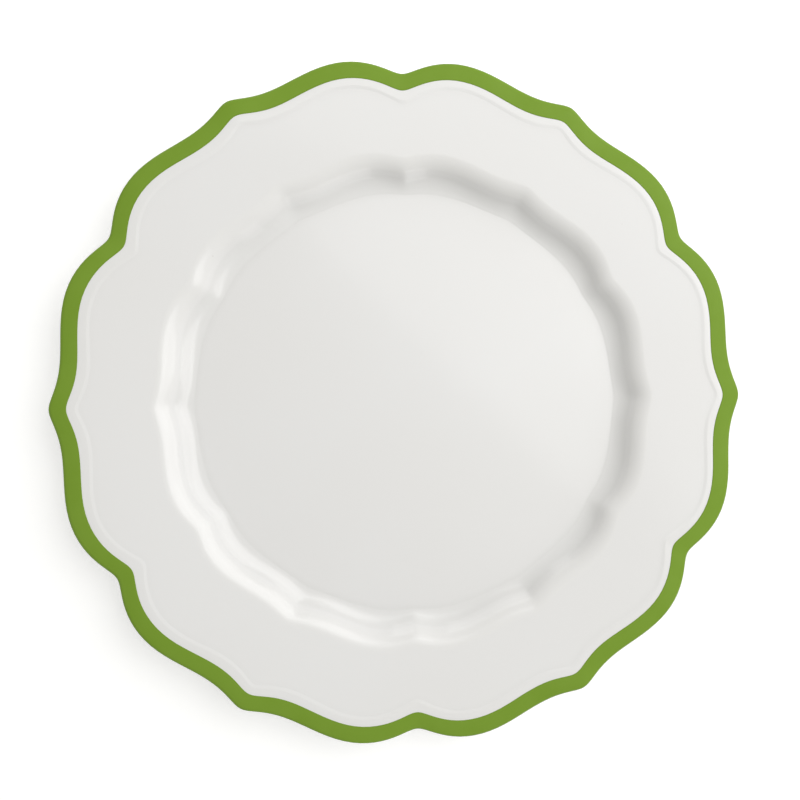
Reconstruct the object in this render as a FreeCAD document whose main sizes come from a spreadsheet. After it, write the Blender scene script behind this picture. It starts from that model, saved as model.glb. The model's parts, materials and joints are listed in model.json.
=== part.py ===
import FreeCAD, Part
import math
import os
from collections import namedtuple

import Sketcher

# China dinner plate with an ogee-scalloped edge. Millimetres, +Z up. The origin is the middle of
# the circle that it stands on, and +X runs through one of the edge's outward points.

POINTS = 6  # outward points of the edge, with an inward notch half way between each two
DIP_NARROW = 6  # how narrow the extra depth of a notch is, as the power of a cosine
RING_STEPS = 28 * POINTS  # places round a ring
CROWDING = 0.7  # how much closer those places are at the points and notches, 0 is even
LEAD = 0.5  # distance from a tight arc to the next place on a gentle stretch of the profile
RIM_LEAD = 4.5  # the same where the rim runs into the raised line

# How sketch constraints name things: a line's ends, the origin and the two axes.
START, END = 1, 2
ORIGIN, LEVEL_AXIS, UPRIGHT_AXIS = -1, -1, -2

# Driving dimensions: alias, value, what it is.
DIMENSIONS = [
    ("lip_radius", 136.0, "mean radius of the clay at the lip"),
    ("lip_round", 1.5, "radius of the rounded lip"),
    ("edge_wide", 21.4, "lip's scallop: ogee swing"),
    ("edge_back", 18.6, "lip's scallop: single wave taken off the swing"),
    ("edge_twice", 1.1, "lip's scallop: double wave taken off the swing"),
    ("edge_crisp", 0.987, "lip's scallop: sharpness of points and notches, 1 is a corner"),
    ("edge_dip", 0.0, "lip's scallop: extra depth of the notches"),
    ("line_wide", 21.4, "raised line's scallop: the same five"),
    ("line_back", 18.6, "single wave"),
    ("line_twice", 1.1, "double wave"),
    ("line_crisp", 0.995, "sharpness"),
    ("line_dip", 1.2, "extra depth of the notches"),
    ("well_wide", 10.2, "well wall's scallop: the same five"),
    ("well_back", 9.3, "single wave"),
    ("well_twice", 0.3, "double wave"),
    ("well_crisp", 0.987, "sharpness"),
    ("well_dip", 0.0, "extra depth of the notches"),
    ("border_radius", 126.5, "mean radius where the border starts, on top of the raised line"),
    ("border_height", 19.0, "mean height there"),
    ("border_slope", 6.0, "slope there, degrees"),
    ("border_curve", 51.0, "radius of the border's curve, over its crest to the lip"),
    ("border_back_slope", 4.0, "slope of the border's back, degrees"),
    ("line_slope", 15.0, "slope of the step up to the border, degrees"),
    ("line_round", 1.2, "rounding at the step's foot and top"),
    ("rim_slope", 8.0, "slope of the rim, degrees"),
    ("shoulder_radius", 100.9, "mean radius where the rim leaves the shoulder"),
    ("shoulder_height", 15.25, "mean height there"),
    ("shoulder_round", 9.9, "rounding from the wall to the rim"),
    ("wall_slope", 50.0, "slope of the well wall, degrees"),
    ("wall_foot_round", 10.2, "rounding at the wall's foot"),
    ("ledge_slope", 11.0, "slope of the narrow ledge round the floor, degrees"),
    ("ledge_radius", 86.2, "mean radius where that ledge starts"),
    ("ledge_round", 4.0, "rounding from the floor to the ledge"),
    ("floor_radius", 84.0, "radius inside which nothing is scalloped"),
    ("wave_radius", 93.0, "radius from which the wall has its whole scallop"),
    ("wave_bow", 1.2, "how the scallop dies away between the two"),
    ("floor_height", 6.7, "height of the clay's well floor"),
    ("wall_thick", 3.6, "thickness of floor, wall and rim"),
    ("glaze_thick", 0.3, "thickness of the glaze"),
    ("band_width", 6.85, "width of the enamel band"),
    ("band_inset", 0.45, "bare glaze from the band to the outermost line"),
    ("band_thick", 0.15, "thickness of the enamel"),
    ("foot_radius", 78.5, "middle radius of the foot ring"),
    ("foot_root", 5.4, "width of the foot ring at the clay"),
    ("foot_tread", 3.2, "width of the foot ring at the table, before rounding"),
    ("foot_round", 0.5, "rounding of the tread's edges"),
    ("bare_height", 0.9, "bare clay above the table, up both sides of the foot"),
]

doc = FreeCAD.newDocument("china_dinner_plate")
sheet = doc.addObject("Spreadsheet::Sheet", "Dimensions")
for row, (alias, value, meaning) in enumerate(DIMENSIONS, start=1):
    sheet.set(f"A{row}", meaning)
    sheet.set(f"B{row}", str(value))
    sheet.setAlias(f"B{row}", alias)
doc.recompute()


def size(alias):
    return float(sheet.get(alias))


GLAZE = size("glaze_thick")
ENAMEL = GLAZE + size("band_thick")

# --- The plate's profile -------------------------------------------------------------------
# A station is a place on the profile of the clay, from the well floor out to the lip and back
# underneath. Its facing is the direction that the surface looks in: 90 is up, 0 is outwards.
# Its form is EDGE or LINE, the scallop that it is on or is turning into. Radii and heights are
# means round the plate.

Station = namedtuple("Station", "name radius height facing form")
EDGE, LINE, WELL = "edge", "line", "well"


def direction(degrees):
    return math.cos(math.radians(degrees)), math.sin(math.radians(degrees))


def moved(place, distance, degrees):
    """A radius and a height, moved so far in a direction."""
    out, up = direction(degrees)
    return place[0] + distance * out, place[1] + distance * up


def on_arc(name, centre, bend, facing, form):
    """A station on an arc. bend is its radius, below 0 where the centre is in front."""
    return Station(name, *moved(centre, bend, facing), facing, form)


def raised(station, thickness):
    """The same station on a coat of that thickness."""
    radius, height = moved((station.radius, station.height), thickness, station.facing)
    return station._replace(radius=radius, height=height)


def behind(station):
    """The place on the back of the clay that is straight behind a station on its face."""
    back = raised(station, -size("wall_thick"))
    return back._replace(
        name="under_" + station.name,
        facing=station.facing - 180,
        form=EDGE,
    )


def well_and_rim():
    """The face from the floor to the foot of the raised line: floor, ledge, wall, shoulder, rim."""
    floor, ledge_round = size("floor_height"), size("ledge_round")
    foot_round, shoulder_round = size("wall_foot_round"), size("shoulder_round")
    ledge, wall, rim = 90 + size("ledge_slope"), 90 + size("wall_slope"), 90 + size("rim_slope")
    ledge_hollow = (size("ledge_radius"), floor + ledge_round)
    shoulder_end = (size("shoulder_radius"), size("shoulder_height"))
    shoulder = moved(shoulder_end, -shoulder_round, rim)
    wall_hollow = wall_foot(ledge_hollow, shoulder)
    near, far = size("shoulder_radius") + LEAD, line_foot() - RIM_LEAD
    return [
        Station("floor", size("floor_radius"), floor, 90, LINE),
        Station("floor_in", size("floor_radius") + LEAD, floor, 90, LINE),
        Station("floor_edge", size("ledge_radius") - LEAD, floor, 90, LINE),
        on_arc("ledge_low", ledge_hollow, -ledge_round, 90, LINE),
        on_arc("ledge_high", ledge_hollow, -ledge_round, ledge, LINE),
        on_arc("wall_foot", wall_hollow, -foot_round, ledge, LINE),
        on_arc("wall_low", wall_hollow, -foot_round, (ledge + wall) / 2, LINE),
        on_arc("wall_high", wall_hollow, -foot_round, wall, LINE),
        on_arc("wall_top", shoulder, shoulder_round, wall, LINE),
        on_arc("shoulder", shoulder, shoulder_round, (wall + rim) / 2, LINE),
        on_arc("rim", shoulder, shoulder_round, rim, LINE),
        Station("rim_in", near, rim_height(near), rim, LINE),
        Station("rim_mid", (near + far) / 2, rim_height((near + far) / 2), rim, LINE),
        Station("rim_out", far, rim_height(far), rim, LINE),
    ]


def wall_foot(ledge_hollow, shoulder):
    """Centre of the arc at the wall's foot, which touches both the ledge and the straight wall."""
    rounding = size("wall_foot_round")
    gentle, steep = slope_of("ledge_slope"), slope_of("wall_slope")
    # two places that are as far in front of the ledge's line and the wall's line as the centre
    above = moved(ledge_hollow, rounding - size("ledge_round"), 90 + size("ledge_slope"))
    inside = moved(shoulder, rounding + size("shoulder_round"), 90 + size("wall_slope"))
    rise = above[1] - inside[1] + steep * inside[0] - gentle * above[0]
    radius = rise / (steep - gentle)
    return radius, above[1] + gentle * (radius - above[0])


def slope_of(alias):
    return math.tan(math.radians(size(alias)))


def rim_height(radius):
    """Height of the sloping rim's face."""
    return size("shoulder_height") + slope_of("rim_slope") * (radius - size("shoulder_radius"))


def border_centre():
    """Centre of the large arc that the border is on, from the raised line out to the lip."""
    start = (size("border_radius"), size("border_height"))
    return moved(start, -size("border_curve"), 90 + size("border_slope"))


def line_top():
    """Centre of the small arc at the raised line's top, which runs on into the border."""
    return moved(
        border_centre(), size("border_curve") - size("line_round"), 90 + size("border_slope")
    )


def line_foot():
    """Mean radius where the rim bends up into the raised line."""
    rounding, steep = size("line_round"), 90 + size("line_slope")
    radius, height = moved(moved(line_top(), rounding, steep), rounding, steep)
    radius, height = moved((radius, height), -rounding, 90 + size("rim_slope"))
    run = (height - rim_height(radius)) / (slope_of("line_slope") - slope_of("rim_slope"))
    return radius - run


def raised_line():
    """The step from the rim up to the border: a hollow arc, then a round one."""
    rounding = size("line_round")
    rim, steep, top = (90 + size(name) for name in ("rim_slope", "line_slope", "border_slope"))
    hollow = moved((line_foot(), rim_height(line_foot())), rounding, rim)
    return [
        on_arc("line_foot", hollow, -rounding, rim, LINE),
        on_arc("line_low", hollow, -rounding, (rim + steep) / 2, LINE),
        on_arc("line_steep", hollow, -rounding, steep, LINE),
        on_arc("line_high", line_top(), rounding, steep, LINE),
        on_arc("line_top", line_top(), rounding, (steep + top) / 2, LINE),
        on_arc("border", line_top(), rounding, top, LINE),
    ]


def border_and_lip():
    """The border over its crest to the lip, round the lip, and in along its back."""
    curve, rounding = size("border_curve"), size("lip_round")
    border = border_centre()
    # the lip's small arc runs on from the border's large one
    lip_centre = size("lip_radius") - rounding
    join = math.degrees(math.acos((lip_centre - border[0]) / (curve - rounding)))
    lip = moved(border, curve - rounding, join)
    band_out = math.degrees(math.acos(1 - size("band_inset") / (rounding + GLAZE)))
    band_in = size("lip_radius") + GLAZE - size("band_inset") - size("band_width")
    facing_in = math.degrees(math.acos((band_in - border[0]) / curve))
    lead = math.degrees(LEAD / curve)
    back = size("border_back_slope") - 90
    return [
        on_arc("border_in", border, curve, 90 + size("border_slope") - lead, LINE),
        on_arc("band_in", border, curve, facing_in, EDGE),
        on_arc("band_mid", border, curve, (facing_in + join) / 2, EDGE),
        on_arc("band_far", border, curve, join + lead, EDGE),
        on_arc("lip_top", lip, rounding, join, EDGE),
        on_arc("lip_high", lip, rounding, (join + band_out) / 2, EDGE),
        on_arc("band_out", lip, rounding, band_out, EDGE),
        on_arc("lip", lip, rounding, 0, EDGE),
        on_arc("lip_low", lip, rounding, back / 2, EDGE),
        on_arc("lip_back", lip, rounding, back, EDGE),
        along_back("back_lead", lip, LEAD),
        along_back("border_back", lip, lip_centre - size("border_radius") - rounding),
    ]


def along_back(name, lip, inwards):
    """A station on the border's straight back, so far in from where the lip's arc ends."""
    back = size("border_back_slope") - 90
    end = on_arc(name, lip, size("lip_round"), back, EDGE)
    fall = inwards * slope_of("border_back_slope")
    return end._replace(radius=end.radius - inwards, height=end.height - fall)


def clay_profile():
    face = well_and_rim()
    back = [behind(station) for station in reversed(face)]
    return face + raised_line() + border_and_lip() + back


# --- The scalloped rings and the skins through them ----------------------------------------


def scallop(angle, form):
    """How far an outline stands out from its mean radius: six ogee points and six notches."""
    crisp = size(form + "_crisp")
    once, twice = math.cos(POINTS * angle), math.cos(2 * POINTS * angle)
    ogee = math.asin(crisp * once) / math.asin(crisp)
    return (
        size(form + "_wide") * ogee
        - size(form + "_back") * once
        - size(form + "_twice") * twice
        - size(form + "_dip") * ((1 - once) / 2) ** DIP_NARROW
    )


def share_between(start, end, radius):
    return min(max((radius - start) / (end - start), 0), 1)


def wave(angle, station):
    """The scallop at a station. It grows up the wall, then turns into its form over the rim."""
    grown = share_between(size("floor_radius"), size("wave_radius"), station.radius)
    turned = share_between(size("shoulder_radius"), line_foot(), station.radius)
    well = math.sin(math.pi / 2 * grown) ** size("wave_bow") * scallop(angle, WELL)
    return (1 - turned) * well + turned * scallop(angle, station.form)


def lift(radius):
    """Rise for each millimetre that the plate stands out, so that the scalloped rim is a cone."""
    return slope_of("rim_slope") * share_between(size("floor_radius"), size("shoulder_radius"), radius)


def ring(station, thickness):
    """A closed curve round the plate through one station, on a coat of that thickness."""
    placed = raised(station, thickness)
    places = []
    for step in range(RING_STEPS):
        even = 2 * math.pi * step / RING_STEPS
        angle = even - CROWDING * math.sin(2 * POINTS * even) / (2 * POINTS)
        out = wave(angle, station)
        radius, height = placed.radius + out, placed.height + lift(station.radius) * out
        places.append(FreeCAD.Vector(radius * math.cos(angle), radius * math.sin(angle), height))
    curve = Part.BSplineCurve()
    knots = [step / RING_STEPS for step in range(RING_STEPS + 1)]
    curve.interpolate(Points=places, PeriodicFlag=True, Parameters=knots)
    return curve


def skin(stations, heights, thickness):
    """One smooth surface through the rings of all the stations."""
    rings = [ring(station, thickness) for station in stations]
    columns = []
    for poles in zip(*(curve.getPoles() for curve in rings)):
        column = Part.BSplineCurve()
        column.interpolate(Points=list(poles), Parameters=heights)
        columns.append(column)
    surface = Part.BSplineSurface()
    surface.buildFromPolesMultsKnots(
        [column.getPoles() for column in columns],
        rings[0].getMultiplicities(),
        columns[0].getMultiplicities(),
        rings[0].getKnots(),
        columns[0].getKnots(),
        True,
        False,
        rings[0].Degree,
        columns[0].Degree,
    )
    return surface


def along(stations):
    """Distance along the profile to each station, as a share of the whole."""
    travelled = [0.0]
    for last, this in zip(stations, stations[1:]):
        step = math.hypot(this.radius - last.radius, this.height - last.height)
        travelled.append(travelled[-1] + step)
    return [length / travelled[-1] for length in travelled]


CLAY = clay_profile()
SHARES = along(CLAY)
AT = {station.name: share for station, share in zip(CLAY, SHARES)}
clay_skin = skin(CLAY, SHARES, 0)
glaze_skin = skin(CLAY, SHARES, GLAZE)
enamel_skin = skin(CLAY, SHARES, ENAMEL)


def stretch(surface, start, end):
    """The face of a skin between two named stations."""
    return surface.toShape(0, 1, AT[start], AT[end])


def edge_at(surface, name):
    return surface.vIso(AT[name]).toShape()


def flat(outer, *holes):
    """A level face between closed edges."""
    wires = [Part.Wire([edge]) for edge in (outer, *holes)]
    return Part.makeFace(wires, "Part::FaceMakerBullseye")


def between(edge, other):
    """The narrow face between two edges that run alongside each other."""
    return Part.makeRuledSurface(edge, other)


def circle(radius, height):
    return Part.Circle(FreeCAD.Vector(0, 0, height), FreeCAD.Vector(0, 0, 1), radius).toShape()


def turned_side(low_radius, low_height, high_radius, high_height):
    """The sloping face of a cone between two circles."""
    cone = Part.makeCone(
        low_radius,
        high_radius,
        high_height - low_height,
        FreeCAD.Vector(0, 0, low_height),
    )
    return next(face for face in cone.Faces if isinstance(face.Surface, Part.Cone))


def closed_solid(faces):
    """The solid that a full set of faces encloses."""
    sewn = Part.makeCompound(faces)
    sewn.sewShape()
    solid = Part.Solid(Part.Shell(sewn.Faces))
    if solid.Volume < 0:
        solid.reverse()
    return solid


def add_feature(name, shape):
    feature = doc.addObject("Part::Feature", name)
    feature.Label = name
    feature.Shape = shape
    feature.Placement = FreeCAD.Placement()
    return feature


# --- The foot ring's outline, in words that the sketches are bound to ----------------------

UNDERSIDE = "(Dimensions.floor_height - Dimensions.wall_thick)"
COATED = f"({UNDERSIDE} - Dimensions.glaze_thick)"
BARE = "Dimensions.bare_height"
LEAN = f"((Dimensions.foot_root - Dimensions.foot_tread) / 2 / {UNDERSIDE})"
SIDEWAYS = f"(Dimensions.glaze_thick * sqrt(1 + {LEAN}^2))"
OUTER, INNER = "+", "-"


def foot_side(side, height, coat="0"):
    """Radius of the foot ring's outer or inner side at a height, or of a coat on that side."""
    half_width = f"(Dimensions.foot_tread / 2 + {LEAN} * {height} + {coat})"
    return f"Dimensions.foot_radius {side} {half_width}"


def worked_out(words):
    return float(sheet.evalExpression(words))


# --- The pieces ----------------------------------------------------------------------------


def make_porcelain_body():
    """Floor, well wall, rim, raised border and lip: one pressed piece of clay."""
    return add_feature(
        "porcelain_body",
        closed_solid(
            [
                flat(edge_at(clay_skin, "floor")),
                stretch(clay_skin, "floor", "lip"),
                stretch(clay_skin, "lip", "under_floor"),
                flat(edge_at(clay_skin, "under_floor")),
            ]
        ),
    )


def make_face_glaze():
    """The coat over the whole face, in to the middle of the floor."""
    return add_feature(
        "face_glaze",
        closed_solid(
            [
                flat(edge_at(clay_skin, "floor")),
                stretch(clay_skin, "floor", "lip"),
                between(edge_at(glaze_skin, "lip"), edge_at(clay_skin, "lip")),
                stretch(glaze_skin, "floor", "lip"),
                flat(edge_at(glaze_skin, "floor")),
            ]
        ),
    )


def make_back_glaze():
    """The coat over the back, from the lip to the foot ring and part way down its outer side."""
    underside, coated, bare = (worked_out(words) for words in (UNDERSIDE, COATED, BARE))
    clay_root = worked_out(foot_side(OUTER, UNDERSIDE))
    clay_end = worked_out(foot_side(OUTER, BARE))
    coat_root = worked_out(foot_side(OUTER, COATED, SIDEWAYS))
    coat_end = worked_out(foot_side(OUTER, BARE, SIDEWAYS))
    return add_feature(
        "back_glaze",
        closed_solid(
            [
                between(edge_at(glaze_skin, "lip"), edge_at(clay_skin, "lip")),
                stretch(clay_skin, "lip", "under_floor"),
                flat(edge_at(clay_skin, "under_floor"), circle(clay_root, underside)),
                turned_side(clay_end, bare, clay_root, underside),
                flat(circle(coat_end, bare), circle(clay_end, bare)),
                turned_side(coat_end, bare, coat_root, coated),
                flat(edge_at(glaze_skin, "under_floor"), circle(coat_root, coated)),
                stretch(glaze_skin, "lip", "under_floor"),
            ]
        ),
    )


def make_rim_band():
    """The green enamel round the edge, over the glaze, just short of the outermost line."""
    return add_feature(
        "rim_band",
        closed_solid(
            [
                stretch(glaze_skin, "band_in", "band_out"),
                stretch(enamel_skin, "band_in", "band_out"),
                between(edge_at(glaze_skin, "band_in"), edge_at(enamel_skin, "band_in")),
                between(edge_at(glaze_skin, "band_out"), edge_at(enamel_skin, "band_out")),
            ]
        ),
    )


def origin_part(body, role):
    return next(part for part in body.Origin.OriginFeatures if part.Role == role)


def turned_body(name, corners):
    """A turned piece. Each corner of its outline is two expressions, a radius and a height."""
    body = doc.addObject("PartDesign::Body", name)
    body.Label = name
    sketch = body.newObject("Sketcher::SketchObject", name + "_outline")
    sketch.AttachmentSupport = [(origin_part(body, "XZ_Plane"), "")]
    sketch.MapMode = "FlatFace"
    places = [FreeCAD.Vector(worked_out(radius), worked_out(height)) for radius, height in corners]
    following = [(number + 1) % len(places) for number in range(len(places))]
    for place, after in zip(places, following):
        sketch.addGeometry(Part.LineSegment(place, places[after]))
    for number, after in enumerate(following):
        sketch.addConstraint(Sketcher.Constraint("Coincident", number, END, after, START))
    for number, (radius, height) in enumerate(corners):
        bind(sketch, number, "DistanceX", UPRIGHT_AXIS, radius)
        bind(sketch, number, "DistanceY", LEVEL_AXIS, height)
    turned = body.newObject("PartDesign::Revolution", name + "_turned")
    turned.Profile = sketch
    turned.ReferenceAxis = (sketch, ["V_Axis"])
    turned.Angle = 360
    doc.recompute()
    return body


def bind(sketch, corner, kind, zero_axis, words):
    """Hold one coordinate of a corner to the sheet, or the corner to an axis where it is 0."""
    if words == "0":
        sketch.addConstraint(Sketcher.Constraint("PointOnObject", corner, START, zero_axis))
        return
    distance = Sketcher.Constraint(kind, ORIGIN, START, corner, START, worked_out(words))
    index = sketch.addConstraint(distance)
    sketch.setExpression(f"Constraints[{index}]", words)


def make_foot_ring():
    """The turned ring that the plate stands on, with a flat tread and eased edges."""
    body = turned_body(
        "foot_ring",
        [
            (foot_side(OUTER, UNDERSIDE), UNDERSIDE),
            (foot_side(OUTER, "0"), "0"),
            (foot_side(INNER, "0"), "0"),
            (foot_side(INNER, UNDERSIDE), UNDERSIDE),
        ],
    )
    turned = body.Tip
    tread_edges = [
        f"Edge{number}"
        for number, edge in enumerate(turned.Shape.Edges, start=1)
        if edge.BoundBox.ZMax < 1e-6
    ]
    eased = body.newObject("PartDesign::Fillet", "foot_ring_eased")
    eased.Base = (turned, tread_edges)
    eased.setExpression("Radius", "Dimensions.foot_round")
    return body


def make_recess_glaze():
    """The patch of glaze inside the foot ring, and part way down the ring's inner side."""
    return turned_body(
        "recess_glaze",
        [
            ("0", UNDERSIDE),
            (foot_side(INNER, UNDERSIDE), UNDERSIDE),
            (foot_side(INNER, BARE), BARE),
            (foot_side(INNER, BARE, SIDEWAYS), BARE),
            (foot_side(INNER, COATED, SIDEWAYS), COATED),
            ("0", COATED),
        ],
    )


pieces = [
    make_porcelain_body(),
    make_foot_ring(),
    make_face_glaze(),
    make_back_glaze(),
    make_recess_glaze(),
    make_rim_band(),
]
doc.recompute()

# --- Checks and export ---------------------------------------------------------------------

for thing in doc.Objects:
    if {"Invalid", "Error"} & set(thing.State):
        raise RuntimeError(f"{thing.Name} failed to rebuild: {thing.State}")
for piece in pieces:
    shape = piece.Shape
    if shape.isNull() or not shape.isValid() or len(shape.Solids) != 1 or shape.Volume <= 0:
        raise RuntimeError(f"{piece.Label} is not one valid solid")

os.makedirs("parts", exist_ok=True)
for piece in pieces:
    piece.Shape.exportStep(f"parts/{piece.Label}.step")
    box = piece.Shape.BoundBox
    print(f"{piece.Label}: {piece.Shape.Volume:.0f} mm3, z {box.ZMin:.2f} to {box.ZMax:.2f}")
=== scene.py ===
import json
import math

import bmesh
import bpy
import numpy as np
from mathutils import Matrix, Vector


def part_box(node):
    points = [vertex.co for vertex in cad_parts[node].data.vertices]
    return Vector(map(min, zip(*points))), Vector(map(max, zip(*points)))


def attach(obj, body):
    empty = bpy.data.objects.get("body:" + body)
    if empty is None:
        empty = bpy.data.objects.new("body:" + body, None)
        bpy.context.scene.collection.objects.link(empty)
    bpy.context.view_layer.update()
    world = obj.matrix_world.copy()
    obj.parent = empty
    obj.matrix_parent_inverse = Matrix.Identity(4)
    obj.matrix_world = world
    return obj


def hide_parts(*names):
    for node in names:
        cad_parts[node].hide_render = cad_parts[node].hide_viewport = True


# The looks of a china dinner plate with an ogee-scalloped edge. The coats of glaze, the enamel
# band and the foot ring are fine meshes made here round the clay body, which stays as packed.
# Everything is in metres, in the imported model's frame.

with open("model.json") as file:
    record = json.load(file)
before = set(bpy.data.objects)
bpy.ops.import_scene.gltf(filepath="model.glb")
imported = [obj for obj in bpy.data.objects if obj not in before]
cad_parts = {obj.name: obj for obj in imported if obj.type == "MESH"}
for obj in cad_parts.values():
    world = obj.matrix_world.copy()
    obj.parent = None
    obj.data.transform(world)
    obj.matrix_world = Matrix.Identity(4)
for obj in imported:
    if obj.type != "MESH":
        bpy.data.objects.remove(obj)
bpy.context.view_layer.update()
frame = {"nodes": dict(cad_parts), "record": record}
MM = 0.001

# --- Sizes that the frame gives --------------------------------------------------------------


def mount_place(name):
    """Where one of the record's mounts lies."""
    mounts = frame["record"]["mounts"]
    return next(mount["pos_m"] for mount in mounts if mount["name"] == name)


def to_tenth(length):
    """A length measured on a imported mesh, to the nearest tenth of a millimetre."""
    return round(length / MM, 1) * MM


def slope(degrees):
    return math.tan(math.radians(degrees))


CLAY_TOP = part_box("porcelain_body")[1].z
POINT_RADIUS = to_tenth(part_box("porcelain_body")[1].x)
UNDERSIDE = to_tenth(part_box("foot_ring")[1].z)
BARE_HEIGHT = to_tenth(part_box("back_glaze")[0].z)
GLAZE = to_tenth(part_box("face_glaze")[1].z - CLAY_TOP)
FLOOR_HEIGHT = mount_place("well_floor")[2] - GLAZE
WALL_THICK = FLOOR_HEIGHT - UNDERSIDE
FOOT_RADIUS = mount_place("foot")[0]
FOOT_ROOT = 2 * (to_tenth(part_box("foot_ring")[1].x) - FOOT_RADIUS)

# --- The scalloped rings ---------------------------------------------------------------------
# Each scallop is an ogee swing, a single and a double wave taken off it, the sharpness of its
# points and notches, and extra depth of the notches. All but the sharpness are in millimetres.

POINTS = 6
EDGE_SCALLOP = (21.4, 18.6, 1.1, 0.987, 0)
LINE_SCALLOP = (21.4, 18.6, 1.1, 0.995, 1.2)
WELL_SCALLOP = (10.2, 9.3, 0.3, 0.987, 0)
DIP_NARROW = 6

COLUMNS = 72 * POINTS
CROWDING = 0.7


def crowded_angles():
    """Directions round the plate, closer together at the points and notches."""
    even = np.linspace(0, 2 * math.pi, COLUMNS, endpoint=False)
    return even - CROWDING * np.sin(2 * POINTS * even) / (2 * POINTS)


def scallop(angle, wide, back, twice, crisp, dip):
    """How far an outline stands out from its mean radius: six ogee points and six notches."""
    once = np.cos(POINTS * angle)
    ogee = np.arcsin(crisp * once) / math.asin(crisp)
    deeper = dip * ((1 - once) / 2) ** DIP_NARROW
    return MM * (wide * ogee - back * once - twice * np.cos(2 * POINTS * angle) - deeper)


ANGLES = crowded_angles()
EDGE_WAVE = scallop(ANGLES, *EDGE_SCALLOP)
LINE_WAVE = scallop(ANGLES, *LINE_SCALLOP)
WELL_WAVE = scallop(ANGLES, *WELL_SCALLOP)

# --- The profile of the clay -----------------------------------------------------------------
# A profile is rows of radius, height, facing and edging. Facing is the direction that the
# surface looks in, in degrees, 90 up and 0 outwards. Edging is 0 where the scallop is the
# raised line's and 1 where it is the edge's. Radii and heights are means round the plate, and
# slopes are in degrees.

RIM_SLOPE = 8
LIP_RADIUS = POINT_RADIUS - EDGE_WAVE[0]
LIP_ROUND = 1.5 * MM
BORDER_RADIUS = LIP_RADIUS - 9.5 * MM
BORDER_SLOPE = 6
BORDER_CURVE = 51 * MM
BORDER_BACK_SLOPE = 4
BACK_BLEND = 60 * MM
LINE_SLOPE = 15
LINE_ROUND = 1.2 * MM
SHOULDER_RADIUS = 100.9 * MM
SHOULDER_HEIGHT = 15.25 * MM
SHOULDER_ROUND = 9.9 * MM
WALL_SLOPE = 50
WALL_FOOT_ROUND = 10.2 * MM
LEDGE_SLOPE = 11
LEDGE_RADIUS = 86.2 * MM
LEDGE_ROUND = 4 * MM
FLOOR_RADIUS = 84 * MM
WAVE_RADIUS = 93 * MM
WAVE_BOW = 1.2
BAND_INSET = 0.45 * MM
BAND_WIDTH = 6.85 * MM

# How far apart the rows are: on tight arcs, on wider ones, on straight runs and the back's long
# bend, on level stretches, and on the underside beside the foot. Ends that touch share a row.
FINE_STEP = 0.12 * MM
BEND_STEP = 0.45 * MM
GENTLE_STEP = 1.2 * MM
FLAT_STEP = 2.95 * MM
BESIDE_FOOT_STEP = 0.6 * MM
TOUCHING = 0.01 * MM


def direction(degrees):
    return np.array([math.cos(math.radians(degrees)), math.sin(math.radians(degrees))])


def share_between(start, end, radius):
    return np.clip((radius - start) / (end - start), 0, 1)


def arc(centre, bend, start, end, step, edging=0.0):
    """Rows along an arc between two facings. bend is below 0 where the centre is in front."""
    length = math.radians(abs(end - start)) * abs(bend)
    facing = np.linspace(start, end, max(2, math.ceil(length / step) + 1))
    out, up = np.cos(np.radians(facing)), np.sin(np.radians(facing))
    rows = [centre[0] + bend * out, centre[1] + bend * up, facing, np.full_like(facing, edging)]
    return np.stack(rows, axis=1)


def straight(start, end, step):
    """Rows strictly between two rows of a profile."""
    count = math.ceil(math.hypot(*(end - start)[:2]) / step)
    share = np.linspace(0, 1, count + 1)[1:-1, None]
    return start + (end - start) * share


def joined(stretches):
    """One profile through stretches, with straight runs where they don't touch."""
    rows = stretches[0]
    for stretch in stretches[1:]:
        if math.hypot(*(stretch[0] - rows[-1])[:2]) > TOUCHING:
            rows = np.concatenate([rows, straight(rows[-1], stretch[0], GENTLE_STEP), stretch])
        else:
            rows = np.concatenate([rows, stretch[1:]])
    return rows


def rim_height(radius):
    return SHOULDER_HEIGHT + slope(RIM_SLOPE) * (radius - SHOULDER_RADIUS)


LEDGE_FACING = 90 + LEDGE_SLOPE
WALL_FACING = 90 + WALL_SLOPE
RIM_FACING = 90 + RIM_SLOPE
LINE_FACING = 90 + LINE_SLOPE
BORDER_FACING = 90 + BORDER_SLOPE
CREST_HEIGHT = CLAY_TOP - slope(RIM_SLOPE) * EDGE_WAVE.max()
BORDER_HEIGHT = to_tenth(CREST_HEIGHT - BORDER_CURVE * (1 - direction(BORDER_FACING)[1]))
BORDER = np.array([BORDER_RADIUS, BORDER_HEIGHT]) - BORDER_CURVE * direction(BORDER_FACING)
LINE_TOP = BORDER + (BORDER_CURVE - LINE_ROUND) * direction(BORDER_FACING)


def find_line_foot():
    """Mean radius where the rim bends up into the raised line."""
    bend = LINE_ROUND * (2 * direction(LINE_FACING) - direction(RIM_FACING))
    radius, height = LINE_TOP + bend
    return radius - (height - rim_height(radius)) / (slope(LINE_SLOPE) - slope(RIM_SLOPE))


LINE_FOOT = find_line_foot()
LINE_HOLLOW = np.array([LINE_FOOT, rim_height(LINE_FOOT)]) + LINE_ROUND * direction(RIM_FACING)
SHOULDER = np.array([SHOULDER_RADIUS, SHOULDER_HEIGHT]) - SHOULDER_ROUND * direction(RIM_FACING)
LEDGE_HOLLOW = np.array([LEDGE_RADIUS, FLOOR_HEIGHT + LEDGE_ROUND])


def find_wall_hollow():
    """Centre of the arc at the wall's foot, which touches both the ledge and the wall."""
    above = LEDGE_HOLLOW + (WALL_FOOT_ROUND - LEDGE_ROUND) * direction(LEDGE_FACING)
    inside = SHOULDER + (WALL_FOOT_ROUND + SHOULDER_ROUND) * direction(WALL_FACING)
    gentle, steep = slope(LEDGE_SLOPE), slope(WALL_SLOPE)
    rise = above[1] - inside[1] + steep * inside[0] - gentle * above[0]
    radius = rise / (steep - gentle)
    return np.array([radius, above[1] + gentle * (radius - above[0])])


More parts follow.
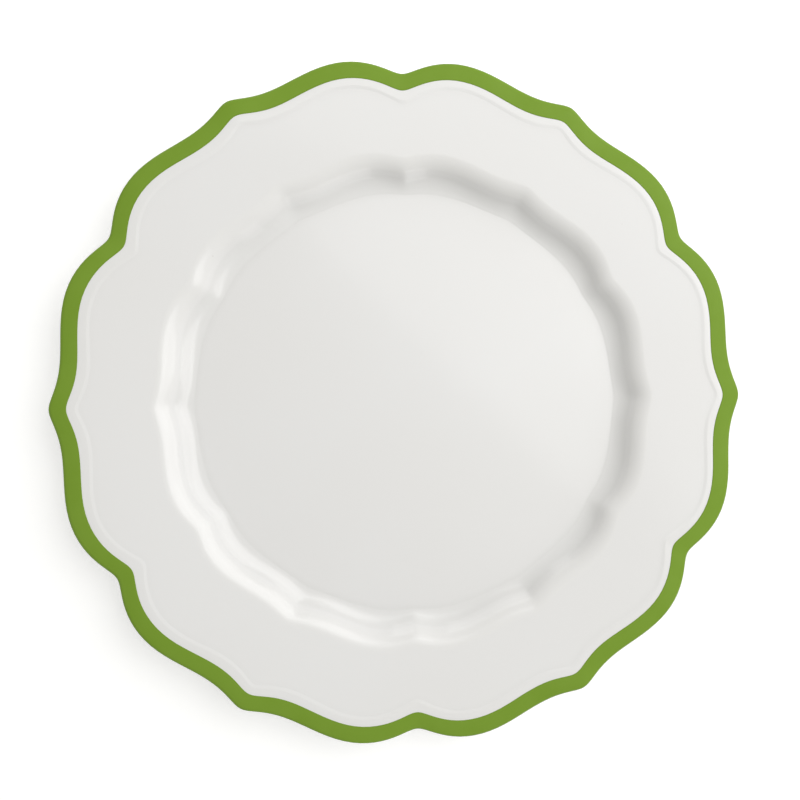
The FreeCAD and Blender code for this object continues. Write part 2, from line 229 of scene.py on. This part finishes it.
WALL_HOLLOW = find_wall_hollow()
LIP_JOIN = math.degrees(
    math.acos((LIP_RADIUS - LIP_ROUND - BORDER[0]) / (BORDER_CURVE - LIP_ROUND))
)
LIP = BORDER + (BORDER_CURVE - LIP_ROUND) * direction(LIP_JOIN)
BAND_IN = LIP_RADIUS + GLAZE - BAND_INSET - BAND_WIDTH


def face_profile():
    """The clay's face, from the edge of the round floor out to the lip's outermost line."""
    border = arc(BORDER, BORDER_CURVE, BORDER_FACING, LIP_JOIN, BEND_STEP)
    share = share_between(BORDER_RADIUS, BAND_IN, border[:, 0])
    border[:, 3] = share * share * (3 - 2 * share)
    return joined(
        [
            np.array([[FLOOR_RADIUS, FLOOR_HEIGHT, 90, 0]]),
            arc(LEDGE_HOLLOW, -LEDGE_ROUND, 90, LEDGE_FACING, FINE_STEP),
            arc(WALL_HOLLOW, -WALL_FOOT_ROUND, LEDGE_FACING, WALL_FACING, BEND_STEP),
            arc(SHOULDER, SHOULDER_ROUND, WALL_FACING, RIM_FACING, BEND_STEP),
            arc(LINE_HOLLOW, -LINE_ROUND, RIM_FACING, LINE_FACING, FINE_STEP),
            arc(LINE_TOP, LINE_ROUND, LINE_FACING, BORDER_FACING, FINE_STEP),
            border,
            arc(LIP, LIP_ROUND, LIP_JOIN, 0, FINE_STEP, edging=1.0),
        ]
    )


def back_corner(border_end):
    """Where the lines of the border's back and the rim's back would cross."""
    rim_place = np.array([SHOULDER_RADIUS, SHOULDER_HEIGHT]) - WALL_THICK * direction(RIM_FACING)
    rise, steeper = slope(BORDER_BACK_SLOPE), slope(RIM_SLOPE)
    level, rim_level = border_end[1] - rise * border_end[0], rim_place[1] - steeper * rim_place[0]
    radius = (level - rim_level) / (steeper - rise)
    return np.array([radius, level + rise * radius])


def back_profile():
    """The clay's back, from the lip's outermost line in to the round underside."""
    border_facing, rim_facing = BORDER_BACK_SLOPE - 90, RIM_FACING - 180
    wall_facing, ledge_facing = WALL_FACING - 180, LEDGE_FACING - 180
    corner = back_corner(LIP + LIP_ROUND * direction(border_facing))
    tangent = BACK_BLEND * slope((RIM_SLOPE - BORDER_BACK_SLOPE) / 2)
    blend = corner + tangent * direction(BORDER_BACK_SLOPE) + BACK_BLEND * direction(border_facing)
    shoulder_bend, foot_bend = SHOULDER_ROUND - WALL_THICK, WALL_FOOT_ROUND + WALL_THICK
    ledge_bend = LEDGE_ROUND + WALL_THICK
    return joined(
        [
            arc(LIP, LIP_ROUND, 0, border_facing, FINE_STEP, edging=1.0),
            arc(blend, -BACK_BLEND, border_facing, rim_facing, GENTLE_STEP, edging=1.0),
            arc(SHOULDER, -shoulder_bend, rim_facing, wall_facing, BEND_STEP, edging=1.0),
            arc(WALL_HOLLOW, foot_bend, wall_facing, ledge_facing, BEND_STEP, edging=1.0),
            arc(LEDGE_HOLLOW, ledge_bend, ledge_facing, -90, BEND_STEP, edging=1.0),
            np.array([[FLOOR_RADIUS, UNDERSIDE, -90, 1]]),
        ]
    )


FACE = face_profile()
BACK = back_profile()


def wave_at(radius, edging):
    """How far the plate stands out at mean radii, in every direction.

    The scallop grows up the wall, then turns into the raised line's or the edge's over the rim.
    """
    grown = share_between(FLOOR_RADIUS, WAVE_RADIUS, radius)
    turned = share_between(SHOULDER_RADIUS, LINE_FOOT, radius)
    well = np.sin(math.pi / 2 * grown) ** WAVE_BOW * WELL_WAVE
    return (1 - turned) * well + turned * (LINE_WAVE + (EDGE_WAVE - LINE_WAVE) * edging)


def lift(radius):
    """Rise for each metre that the plate stands out, so that the scalloped rim is a cone."""
    return slope(RIM_SLOPE) * share_between(FLOOR_RADIUS, SHOULDER_RADIUS, radius)


# --- Mesh tools ------------------------------------------------------------------------------

# an edge between two faces that turn by more than this, in degrees, isn't smoothed over
SHARP_EDGE = 50


def rings_at(rows, thickness):
    """Rings of points round the plate through profile rows, on a coat of that thickness.

    There is one row for every ring, or one for every point of every ring.
    """
    if rows.ndim == 2:
        rows = rows[:, None]
    radius, height, facing, edging = (rows[..., column] for column in range(4))
    out, up = np.cos(np.radians(facing)), np.sin(np.radians(facing))
    wave = wave_at(radius, edging)
    reach = radius + thickness * out + wave
    level = height + thickness * up + lift(radius) * wave
    return np.stack([reach * np.cos(ANGLES), reach * np.sin(ANGLES), level], axis=-1)


def straighten_normals(mesh):
    """All faces look outwards, and the mesh is smooth but for its real edges."""
    work = bmesh.new()
    work.from_mesh(mesh)
    bmesh.ops.recalc_face_normals(work, faces=work.faces)
    work.to_mesh(mesh)
    work.free()
    mesh.shade_smooth()
    mesh.set_sharp_from_angle(angle=math.radians(SHARP_EDGE))


def make_piece(name, rings, material, node, capped=False):
    """A closed mesh through rings in order. capped ends both ways in a point on the axis."""
    vertices = rings.reshape(-1, 3).tolist()
    count = len(rings)
    after = [(column + 1) % COLUMNS for column in range(COLUMNS)]
    faces = []
    for ring in range(count - 1 if capped else count):
        low, high = ring * COLUMNS, (ring + 1) % count * COLUMNS
        faces += [(low + c, low + after[c], high + after[c], high + c) for c in range(COLUMNS)]
    if capped:
        for ring in (0, count - 1):
            tip, start = len(vertices), ring * COLUMNS
            vertices.append((0.0, 0.0, vertices[start][2]))
            faces += [(start + after[c], start + c, tip) for c in range(COLUMNS)]
    mesh = bpy.data.meshes.new(name)
    mesh.from_pydata(vertices, [], faces)
    straighten_normals(mesh)
    mesh.materials.append(material)
    piece = bpy.data.objects.new(name, mesh)
    bpy.context.scene.collection.objects.link(piece)
    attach(piece, "root")
    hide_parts(node)
    return piece


def write_attribute(piece, name, values):
    """One number for each vertex. Points on the axis take the last value."""
    numbers = np.full(len(piece.data.vertices), values.flat[-1], np.float32)
    numbers[: values.size] = values.ravel()
    attribute = piece.data.attributes.new(name, "FLOAT", "POINT")
    attribute.data.foreach_set("value", numbers)


# --- Materials -------------------------------------------------------------------------------

# Noise values that become a drift's two ends: the further apart, the softer its lumps are.
SOFT_LUMPS = (0.3, 0.7)
FIRM_LUMPS = (0.35, 0.65)
FEW_LUMPS = (0.45, 0.75)


class Nodes:
    """A material's node tree, built by short calls."""

    def __init__(self, name):
        self.material = bpy.data.materials.new(name)
        self.material.use_nodes = True
        self.tree = self.material.node_tree
        self.shader = self.tree.nodes["Principled BSDF"]
        self.place = self.add("ShaderNodeTexCoord").outputs["Object"]

    def add(self, kind, **settings):
        node = self.tree.nodes.new(kind)
        for name, value in settings.items():
            setattr(node, name, value)
        return node

    def link(self, output, socket):
        self.tree.links.new(output, socket)

    def set(self, name, value):
        """Gives the shader one value for the whole surface."""
        self.shader.inputs[name].default_value = value

    def noise(self, wavelength, detail=2.0, rough=0.5):
        """Noise from 0 to 1 whose lumps are about one wavelength across, in metres."""
        node = self.add("ShaderNodeTexNoise")
        node.inputs["Scale"].default_value = 1 / wavelength
        node.inputs["Detail"].default_value = detail
        node.inputs["Roughness"].default_value = rough
        self.link(self.place, node.inputs["Vector"])
        return node.outputs["Fac"]

    def attribute(self, name):
        return self.add("ShaderNodeAttribute", attribute_name=name).outputs["Fac"]

    def spread(self, value, low, high, to_low=0.0, to_high=1.0):
        """value, mapped so that low gives to_low and high gives to_high, and held there."""
        node = self.add("ShaderNodeMapRange", clamp=True)
        self.link(value, node.inputs["Value"])
        limits = {"From Min": low, "From Max": high, "To Min": to_low, "To Max": to_high}
        for socket, limit in limits.items():
            node.inputs[socket].default_value = limit
        return node.outputs["Result"]

    def maths(self, operation, first, second):
        node = self.add("ShaderNodeMath", operation=operation)
        for socket, value in zip(node.inputs, (first, second)):
            if isinstance(value, (int, float)):
                socket.default_value = value
            else:
                self.link(value, socket)
        return node.outputs["Value"]

    def mix(self, amount, first, second):
        """first where amount is 0 and second where it is 1. Each is a colour or an output."""
        node = self.add("ShaderNodeMix", data_type="RGBA")
        self.link(amount, node.inputs["Factor"])
        colour_sockets = [socket for socket in node.inputs if socket.type == "RGBA"]
        for socket, value in zip(colour_sockets, (first, second)):
            if isinstance(value, tuple):
                socket.default_value = (*value, 1)
            else:
                self.link(value, socket)
        return next(socket for socket in node.outputs if socket.type == "RGBA")

    def colour(self, tone):
        self.link(tone, self.shader.inputs["Base Color"])

    def roughness(self, wavelength, smoothest, roughest):
        """A roughness that drifts between two values over the surface."""
        drift = self.spread(self.noise(wavelength), *SOFT_LUMPS, smoothest, roughest)
        self.link(drift, self.shader.inputs["Roughness"])

    def bump(self, height, distance):
        node = self.add("ShaderNodeBump")
        node.inputs["Distance"].default_value = distance
        self.link(height, node.inputs["Height"])
        self.link(node.outputs["Normal"], self.shader.inputs["Normal"])


def specks(nodes, spacing, size):
    """1 in small specks, strewn about one to each cell of that spacing, and 0 between them."""
    cells = nodes.add("ShaderNodeTexVoronoi")
    cells.inputs["Scale"].default_value = 1 / spacing
    nodes.link(nodes.place, cells.inputs["Vector"])
    return nodes.spread(cells.outputs["Distance"], size / spacing * 0.5, size / spacing, 1.0, 0.0)


GLASS_IOR = 1.5

FACE_WHITE = (0.773, 0.768, 0.764)
FACE_WARM = (0.767, 0.760, 0.753)
BACK_WHITE = (0.755, 0.755, 0.74)
BACK_WARM = (0.745, 0.74, 0.72)
GLAZE_DRIFT = 70 * MM
GLAZE_SHEEN = 9 * MM
GLAZE_ROUGHNESS = (0.11, 0.16)
RIPPLE = 6 * MM
RIPPLE_DEPTH = 0.012 * MM

# the colours that glaze turns to where it pools, where it is thin and at its specks, and how
# much of each it takes there. The pooled colour is partly painted shade, darker in the hollows.
POOLED_AND_SHADED, POOLED_AND_SHADED_SHARE = (0.645, 0.641, 0.627), 0.8
THIN, THIN_SHARE = (0.80, 0.785, 0.75), 0.35
SPECK, SPECK_SHARE = (0.36, 0.33, 0.29), 0.5
SPECK_SPACING = 14 * MM
SPECK_SIZE = 0.22 * MM

GREEN = (0.172, 0.291, 0.026)
PALER_GREEN = (0.185, 0.307, 0.032)
BANKED_GREEN, BANKED_SHARE = (0.115, 0.190, 0.012), 0.25
BANKED_FULL, BANKED_GONE = 0.15, 0.6
ENAMEL_DRIFT = 14 * MM
ENAMEL_SHEEN = 3 * MM
ENAMEL_ROUGHNESS = (0.44, 0.54)
ENAMEL_SPECULAR = 0.15
ENAMEL_GRAIN = 1.6 * MM
ENAMEL_GRAIN_DEPTH = 0.01 * MM

BODY_CLAY = (0.80, 0.78, 0.74)
BODY_STAIN = (0.74, 0.71, 0.66)
BODY_GRAIN = 0.6 * MM
FOOT_CLAY = (0.74, 0.71, 0.66)
FOOT_STAIN = (0.60, 0.57, 0.52)
FOOT_GRAIN = 0.5 * MM
STAIN_DRIFT = 11 * MM
GRIT, GRIT_SHARE = (0.55, 0.51, 0.46), 0.25
GRAIN_DEPTH = 0.03 * MM
CLAY_ROUGHNESS = (0.62, 0.85)


def make_glaze(name, white, warm):
    """Soft white glaze: faint drifts of tone, darker in hollows where it pools and as painted
    shade, thin on edges.
    """
    nodes = Nodes(name)
    drift = nodes.spread(nodes.noise(GLAZE_DRIFT, detail=1.0), *FIRM_LUMPS)
    tone = nodes.mix(drift, white, warm)
    pool = nodes.attribute("pool")
    # darker in hollows: partly glaze pooling, partly painted shade
    tone = nodes.mix(nodes.spread(pool, 0.0, 1.0, 0.0, POOLED_AND_SHADED_SHARE), tone, POOLED_AND_SHADED)
    tone = nodes.mix(nodes.spread(pool, -1.0, 0.0, THIN_SHARE, 0.0), tone, THIN)
    specked = nodes.maths("MULTIPLY", specks(nodes, SPECK_SPACING, SPECK_SIZE), SPECK_SHARE)
    nodes.colour(nodes.mix(specked, tone, SPECK))
    nodes.roughness(GLAZE_SHEEN, *GLAZE_ROUGHNESS)
    nodes.set("IOR", GLASS_IOR)
    nodes.bump(nodes.noise(RIPPLE, detail=1.0), RIPPLE_DEPTH)
    return nodes.material


def make_face_white():
    return make_glaze("face_glaze", FACE_WHITE, FACE_WARM)


def make_back_white():
    return make_glaze("back_glaze", BACK_WHITE, BACK_WARM)


def make_enamel():
    """Green overglaze enamel: even colour, a darker line where it banked up at each edge."""
    nodes = Nodes("green_enamel")
    drift = nodes.spread(nodes.noise(ENAMEL_DRIFT, detail=3.0), *SOFT_LUMPS)
    tone = nodes.mix(drift, GREEN, PALER_GREEN)
    # how far the nearer edge of the band is, in millimetres
    gap = nodes.attribute("edge_gap")
    banked = nodes.spread(gap, BANKED_FULL, BANKED_GONE, BANKED_SHARE, 0.0)
    nodes.colour(nodes.mix(banked, tone, BANKED_GREEN))
    nodes.roughness(ENAMEL_SHEEN, *ENAMEL_ROUGHNESS)
    nodes.set("Specular IOR Level", ENAMEL_SPECULAR)
    nodes.set("IOR", GLASS_IOR)
    nodes.bump(nodes.noise(ENAMEL_GRAIN, detail=3.0), ENAMEL_GRAIN_DEPTH)
    return nodes.material


def make_biscuit(name, clean, stained, grain):
    """Bare fired porcelain: matt, faintly sandy, with faint stains."""
    nodes = Nodes(name)
    stain = nodes.spread(nodes.noise(STAIN_DRIFT, detail=4.0, rough=0.6), *FEW_LUMPS)
    tone = nodes.mix(stain, clean, stained)
    sandy = nodes.spread(nodes.noise(grain), *FIRM_LUMPS, 0.0, GRIT_SHARE)
    nodes.colour(nodes.mix(sandy, tone, GRIT))
    nodes.roughness(grain, *CLAY_ROUGHNESS)
    nodes.bump(nodes.noise(grain, detail=3.0), GRAIN_DEPTH)
    return nodes.material


def make_foot_clay():
    return make_biscuit("foot_biscuit", FOOT_CLAY, FOOT_STAIN, FOOT_GRAIN)


def make_body_clay():
    return make_biscuit("biscuit", BODY_CLAY, BODY_STAIN, BODY_GRAIN)


# --- The foot ring's sides -------------------------------------------------------------------

FOOT_TREAD = 3.2 * MM
FOOT_ROUND = 0.5 * MM
EASED_TOP = 0.6 * MM
FILLET = 0.7 * MM
WIPE_WANDER = 0.25 * MM
WIPE_WAVES = ((5, 0.8, 0.45), (11, 2.1, 0.3), (23, 4.4, 0.25))

# how many rings each stretch of a side has, with both its ends
CLAY_RINGS = 6
FILLET_RINGS = 9
COATED_RINGS = 4
ROLL_RINGS = 7
EASED_RINGS = 8
LEANING_RINGS = 7
TREAD_RINGS = 4

OUTER, INNER = 1, -1
LEAN = (FOOT_ROOT - FOOT_TREAD) / 2 / UNDERSIDE
SIDE_TILT = math.degrees(math.atan(LEAN))
SIDEWAYS = math.sqrt(1 + LEAN * LEAN)


def foot_side(side, height, coat=0.0):
    """Radius of the foot ring's outer or inner side at a height, on a coat of a thickness."""
    return FOOT_RADIUS + side * (FOOT_TREAD / 2 + LEAN * height + SIDEWAYS * coat)


def rings_through(radius, height):
    """Rings from a radius and a height for every ring, or for every point of every ring."""
    shape = np.broadcast_shapes(np.shape(radius), np.shape(height), (1, COLUMNS))
    radius, height = np.broadcast_to(radius, shape), np.broadcast_to(height, shape)
    return np.stack([radius * np.cos(ANGLES), radius * np.sin(ANGLES), height], axis=-1)


def flat_rings(start, end, height, step=FLAT_STEP):
    """Level round rings strictly between two radii."""
    count = math.ceil(abs(end - start) / step)
    radius = start + (end - start) * np.arange(1, count)[:, None] / count
    return rings_through(radius, height)


def clay_side(side):
    """Rings on the foot ring's bare side, from the underside down to where the glaze ends."""
    height = np.linspace(UNDERSIDE, BARE_HEIGHT, CLAY_RINGS)[:, None]
    return rings_through(foot_side(side, height), height)


def wander(angle, waves):
    """A hand-drawn wobble from -1 to 1. Each wave is how many go round, its phase and share."""
    return sum(share * np.sin(times * angle + phase) for times, phase, share in waves)


def coated_side(side):
    """Rings on the glaze of the foot ring's side, from the underside down to its rolled end."""
    fillet_height = UNDERSIDE - GLAZE - FILLET
    facing = np.radians(np.linspace(-90, -SIDE_TILT, FILLET_RINGS))[:, None]
    fillet_radius = foot_side(side, fillet_height, GLAZE + FILLET)
    fillet = rings_through(
        fillet_radius - side * FILLET * np.cos(facing), fillet_height - FILLET * np.sin(facing)
    )
    # the end wanders a little, as it is wiped back by hand before firing
    end = BARE_HEIGHT + WIPE_WANDER * (1 + wander(ANGLES, WIPE_WAVES)) / 2
    side_top = fillet_height + FILLET * math.sin(math.radians(SIDE_TILT))
    down = side_top + (end + GLAZE - side_top) * np.linspace(0, 1, COATED_RINGS)[1:-1, None]
    roll = np.radians(np.linspace(0, 90, ROLL_RINGS))[:-1, None]
    height = np.concatenate([down, end + GLAZE * (1 - np.sin(roll))])
    coat = np.concatenate([np.full((len(down), COLUMNS), GLAZE), GLAZE * np.cos(roll) + 0 * end])
    return np.concatenate([fillet, rings_through(foot_side(side, height, coat), height)])


# --- The pieces ------------------------------------------------------------------------------

# Glaze gathers, and painted shade darkens the surface, in a hollow that turns by about this
# much for each millimetre, in radians, and spreads this far from it. Beside the foot and on its
# sides it gathers by a fixed amount.
POOL_AND_SHADE_BEND = 0.3
POOL_AND_SHADE_SPREAD = 0.8 * MM
BESIDE_FOOT_POOL_AND_SHADE = 0.3
FOOT_POOL_AND_SHADE = 0.6

BAND_OFF_CENTRE = 0.4 * MM
BAND_WOBBLE = 0.08 * MM
BAND_WAVES = ((3, 1.2, 0.35), (7, 0.3, 0.25), (17, 2.6, 0.22), (41, 5.1, 0.18))

# The enamel rounds off within BAND_BANK of its edges, down to the square root of BAND_THINNEST
# of its full thickness. It sinks a little into the glaze, so that no gap shows.
ENAMEL = 0.15 * MM
BAND_BANK = 0.3 * MM
BAND_THINNEST = 0.02
BAND_SINK = 0.01 * MM

# the hidden side of the band has every fourth of its rows, from edge to edge
HIDDEN_EVERY = 4
BAND_ROWS = 14 * HIDDEN_EVERY + 1


def thinned(rows):
    """Every third row of a profile, and its last."""
    return np.concatenate([rows[:-1][::3], rows[-1:]])


def pool_and_shade_of(rows):
    """How glaze gathers and painted shade falls along a profile: towards 1 in a tight hollow,
    below 0 on an edge.
    """
    turn = np.gradient(np.radians(rows[:, 2]))
    steps = np.hypot(np.gradient(rows[:, 0]), np.gradient(rows[:, 1]))
    gathered = np.tanh(turn / (steps / MM) / POOL_AND_SHADE_BEND)
    travel = np.cumsum(steps)
    near = np.exp(-(((travel[:, None] - travel) / POOL_AND_SHADE_SPREAD) ** 2)) * steps
    return (near @ gathered / near.sum(axis=1))[:, None]


def stacked(*parts):
    """Rings one after another, and a value of glaze pooling and painted shade for each point. Each
    part is rings, values.
    """
    rings = np.concatenate([rings for rings, _ in parts])
    pool = np.concatenate([np.broadcast_to(values, part.shape[:2]) for part, values in parts])
    return rings, pool


def make_face_coat():
    """The glaze over the whole face, as a thin closed shell on the clay."""
    under = thinned(FACE)[::-1]
    rings, pool = stacked(
        (flat_rings(0, FLOOR_RADIUS, FLOOR_HEIGHT + GLAZE), 0.0),
        (rings_at(FACE, GLAZE), pool_and_shade_of(FACE)),
        (rings_at(under, 0.0), 0.0),
        (flat_rings(FLOOR_RADIUS, 0, FLOOR_HEIGHT), 0.0),
    )
    white = make_face_white()
    piece = make_piece("glaze_face", rings, white, "face_glaze", capped=True)
    write_attribute(piece, "pool", pool)


def make_back_coat(white):
    """The glaze over the back, from the lip to part way down the foot ring's outer side."""
    under = thinned(BACK)[::-1]
    root = foot_side(OUTER, UNDERSIDE)
    fillet_top = foot_side(OUTER, UNDERSIDE - GLAZE - FILLET, GLAZE + FILLET)
    beside_foot = flat_rings(FLOOR_RADIUS, fillet_top, UNDERSIDE - GLAZE, BESIDE_FOOT_STEP)
    rings, pool = stacked(
        (rings_at(BACK, GLAZE), pool_and_shade_of(BACK)),
        (beside_foot, BESIDE_FOOT_POOL_AND_SHADE),
        (coated_side(OUTER), FOOT_POOL_AND_SHADE),
        (clay_side(OUTER)[::-1], 0.0),
        (flat_rings(root, FLOOR_RADIUS, UNDERSIDE), 0.0),
        (rings_at(under, 0.0), 0.0),
    )
    piece = make_piece("glaze_back", rings, white, "back_glaze")
    write_attribute(piece, "pool", pool)


def make_recess_coat(white):
    """The patch of glaze inside the foot ring, and part way down the ring's inner side."""
    root = foot_side(INNER, UNDERSIDE)
    fillet_top = foot_side(INNER, UNDERSIDE - GLAZE - FILLET, GLAZE + FILLET)
    rings, pool = stacked(
        (flat_rings(0, fillet_top, UNDERSIDE - GLAZE), 0.0),
        (coated_side(INNER), FOOT_POOL_AND_SHADE),
        (clay_side(INNER)[::-1], 0.0),
        (flat_rings(root, 0, UNDERSIDE), 0.0),
    )
    piece = make_piece("glaze_recess", rings, white, "recess_glaze", capped=True)
    write_attribute(piece, "pool", pool)


def make_foot():
    """The turned ring that the plate stands on, with a ground tread and eased edges."""
    half = FOOT_TREAD / 2
    # where an arc of FOOT_ROUND touches both the tread and the leaning side
    eased = half - FOOT_ROUND * (SIDEWAYS - LEAN)
    facing = np.radians(np.linspace(-SIDE_TILT, -90, EASED_RINGS))
    corner = np.stack(
        [eased + FOOT_ROUND * np.cos(facing), FOOT_ROUND + FOOT_ROUND * np.sin(facing)], axis=1
    )
    levels = np.linspace(UNDERSIDE, EASED_TOP, LEANING_RINGS)
    side = [(half + LEAN * level, level) for level in levels]
    tread = [(across, 0.0) for across in np.linspace(eased, 0, TREAD_RINGS)[1:]]
    outer = np.concatenate([side, corner, tread])
    inner = (outer * (-1, 1))[-2::-1]
    outline = np.concatenate([outer, inner])
    rings = rings_through(FOOT_RADIUS + outline[:, :1], outline[:, 1:])
    make_piece("foot", rings, make_foot_clay(), "foot_ring")


def face_travel():
    """Distance along the face's profile to each of its rows."""
    steps = np.hypot(np.diff(FACE[:, 0]), np.diff(FACE[:, 1]))
    return np.concatenate([[0.0], np.cumsum(steps)])


def profile_at(travel):
    """The face's profile rows at distances along it."""
    marks = face_travel()
    return np.stack([np.interp(travel, marks, FACE[:, part]) for part in range(4)], axis=-1)


def band_edges():
    """Distances along the face's profile to the band's inner and outer edge, all the way round."""
    marks = face_travel()
    inner = np.interp(BAND_IN, FACE[:, 0], marks)
    turn_left = math.acos(1 - BAND_INSET / (LIP_ROUND + GLAZE))
    outer = marks[-1] - LIP_ROUND * turn_left
    off_centre = -BAND_OFF_CENTRE * np.cos(ANGLES)
    return (
        inner + off_centre + BAND_WOBBLE * wander(ANGLES, BAND_WAVES),
        outer + off_centre + BAND_WOBBLE * wander(ANGLES[::-1], BAND_WAVES),
    )


def make_band():
    """The green enamel round the edge, over the glaze, a little off centre."""
    inner, outer = band_edges()
    share = (1 - np.cos(np.linspace(0, math.pi, BAND_ROWS)))[:, None] / 2
    travel = inner + (outer - inner) * share
    gap = np.minimum(travel - inner, outer - travel)
    thick = ENAMEL * np.sqrt(np.clip(gap / BAND_BANK, BAND_THINNEST, 1))
    top = rings_at(profile_at(travel), GLAZE + thick)
    below = rings_at(profile_at(travel[::-HIDDEN_EVERY]), GLAZE - BAND_SINK)
    rings = np.concatenate([top, below])
    piece = make_piece("enamel_band", rings, make_enamel(), "rim_band")
    edge_gap = np.concatenate([gap / MM, np.zeros(below.shape[:2])])
    write_attribute(piece, "edge_gap", edge_gap)


def finish_clay_body():
    """The clay body stays as packed, under the glaze. It takes a bare clay finish."""
    body = frame["nodes"]["porcelain_body"]
    body.data.materials.clear()
    body.data.materials.append(make_body_clay())


# --- Studio ----------------------------------------------------------------------------------

FLOOR_HALF = 12.0
FLOOR_GLOW = 0.28
PAPER = (0.90, 0.90, 0.90)
PALER_PAPER = (0.91, 0.91, 0.91)
PAPER_FIBRE = 3 * MM
PAPER_ROUGHNESS = 0.9

WORLD_STRENGTH = 0.505
WORLD_COLOUR = (1.0, 0.997, 0.955)

# Directions are in degrees, distances and sizes in metres and power in watts. The key shapes the
# well's wall, the panel lifts the part of the rim nearest to it, and the low ones fill in.
SOFTBOXES = {
    "key": dict(azimuth=23, elevation=42, distance=0.95, size=1.15, power=6.3),
    "panel": dict(azimuth=45, elevation=60, distance=0.5, size=0.45, power=0.59),
    "side_1": dict(azimuth=110, elevation=14, distance=1.0, size=0.5, power=1.0),
    "side_2": dict(azimuth=290, elevation=14, distance=1.0, size=0.5, power=1.0),
}

# The height is in metres, the lens and sensor are in millimetres, the lean and roll in degrees
# and the shift in widths of the view.
CAMERA_HEIGHT = 0.351
CAMERA_LENS = 36.92
CAMERA_SENSOR = 36
CAMERA_LEAN = -6.29
CAMERA_ROLL = 1.34
CAMERA_SHIFT = (-0.125, 0.002)


def make_floor_material():
    """Plain pale studio paper."""
    nodes = Nodes("studio_paper")
    fibre = nodes.spread(nodes.noise(PAPER_FIBRE, detail=3.0), *SOFT_LUMPS)
    nodes.colour(nodes.mix(fibre, PAPER, PALER_PAPER))
    nodes.set("Roughness", PAPER_ROUGHNESS)
    nodes.set("Specular IOR Level", 0.0)
    nodes.set("Emission Color", (1, 1, 1, 1))
    nodes.set("Emission Strength", FLOOR_GLOW)
    return nodes.material


def add_floor():
    mesh = bpy.data.meshes.new("studio_floor")
    signs = ((-1, -1), (1, -1), (1, 1), (-1, 1))
    floor_corners = [(across * FLOOR_HALF, along * FLOOR_HALF, 0) for across, along in signs]
    mesh.from_pydata(floor_corners, [], [(0, 1, 2, 3)])
    mesh.materials.append(make_floor_material())
    floor = bpy.data.objects.new("studio_floor", mesh)
    bpy.context.scene.collection.objects.link(floor)


def add_world():
    world = bpy.data.worlds.new("studio")
    world.use_nodes = True
    background = world.node_tree.nodes["Background"]
    background.inputs["Color"].default_value = (*WORLD_COLOUR, 1)
    background.inputs["Strength"].default_value = WORLD_STRENGTH
    bpy.context.scene.world = world


def add_softbox(name, azimuth, elevation, distance, size, power):
    """A square softbox that faces the plate from a direction."""
    light = bpy.data.lights.new(name, "AREA")
    light.shape = "SQUARE"
    light.size = size
    light.energy = power
    softbox = bpy.data.objects.new(name, light)
    level = math.cos(math.radians(elevation))
    towards = Vector(
        (
            level * math.cos(math.radians(azimuth)),
            level * math.sin(math.radians(azimuth)),
            math.sin(math.radians(elevation)),
        )
    )
    softbox.location = towards * distance
    softbox.rotation_mode = "QUATERNION"
    softbox.rotation_quaternion = towards.to_track_quat("Z", "Y")
    bpy.context.scene.collection.objects.link(softbox)


def add_camera():
    """Straight above the plate, turned a little aside and shifted back to frame it."""
    camera = bpy.data.cameras.new("camera")
    camera.lens = CAMERA_LENS
    camera.sensor_width = CAMERA_SENSOR
    camera.shift_x, camera.shift_y = CAMERA_SHIFT
    holder = bpy.data.objects.new("camera", camera)
    roll = Matrix.Rotation(math.radians(-CAMERA_ROLL), 4, "Z")
    lean = Matrix.Rotation(math.radians(CAMERA_LEAN), 4, "Y")
    holder.matrix_world = Matrix.Translation((0, 0, CAMERA_HEIGHT)) @ roll @ lean
    bpy.context.scene.collection.objects.link(holder)
    bpy.context.scene.camera = holder


def set_view():
    bpy.context.scene.view_settings.view_transform = "Standard"
    bpy.context.scene.view_settings.look = "None"


finish_clay_body()
make_face_coat()
back_white = make_back_white()
make_back_coat(back_white)
make_recess_coat(back_white)
make_foot()
make_band()
add_floor()
add_world()
for name, settings in SOFTBOXES.items():
    add_softbox(name, **settings)
add_camera()
set_view()
